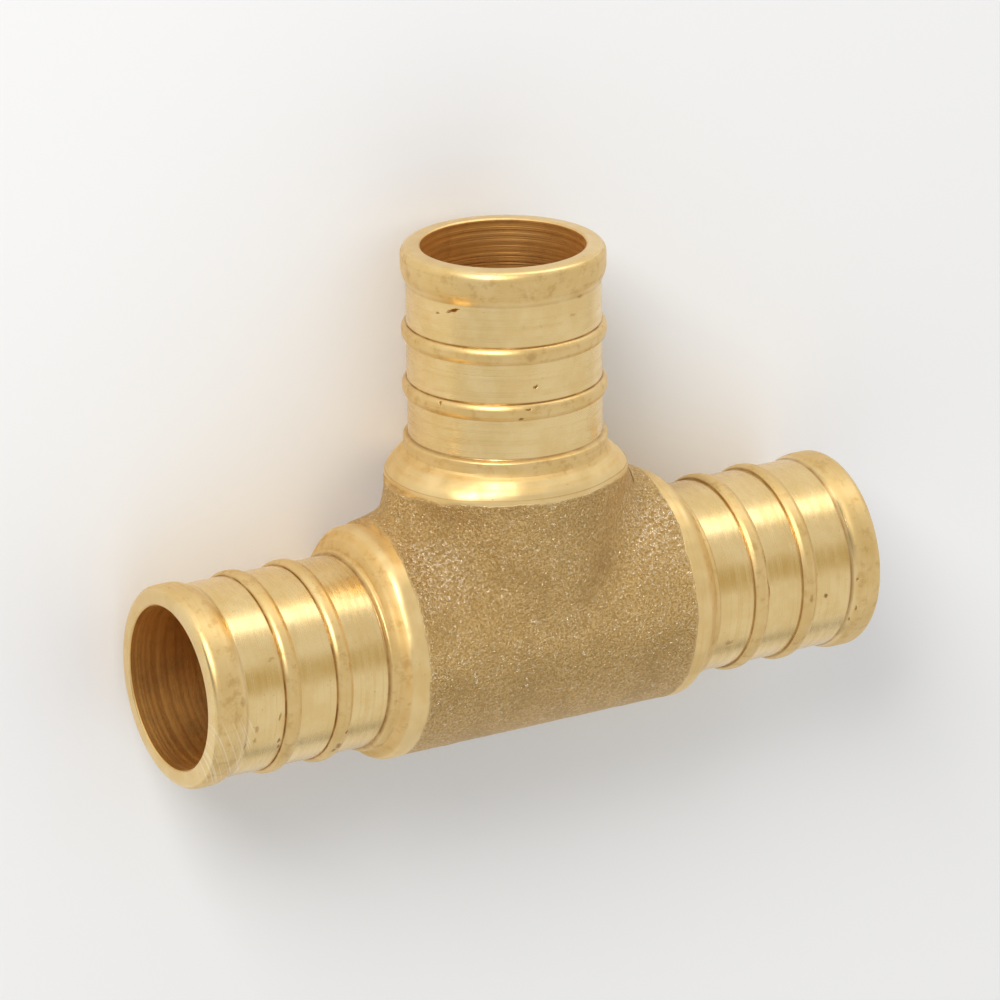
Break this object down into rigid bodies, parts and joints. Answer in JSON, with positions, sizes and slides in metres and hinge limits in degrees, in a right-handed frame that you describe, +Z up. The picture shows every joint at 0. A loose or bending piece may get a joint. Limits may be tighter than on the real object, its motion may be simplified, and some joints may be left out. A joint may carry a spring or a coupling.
{
  "type": "barbed pipe tee",
  "caption": "Brass tee that branches a plastic water pipe: turned, barbed ends take the pipe under crimp rings, on a rough cast body.",
  "frame": {"origin": "where the centre lines of the run and the branch cross", "axes": "+X along the run, +Y out of the branch, +Z up, square to both: the tee lies flat"},
  "size_m": [0.065, 0.0428, 0.0192],
  "materials": {
    "brass": "turned and satin bright on the barbed ends, rough as cast on the body"
  },
  "bodies": {
    "root": {"tee_body": "brass"}
  },
  "joints": []
}
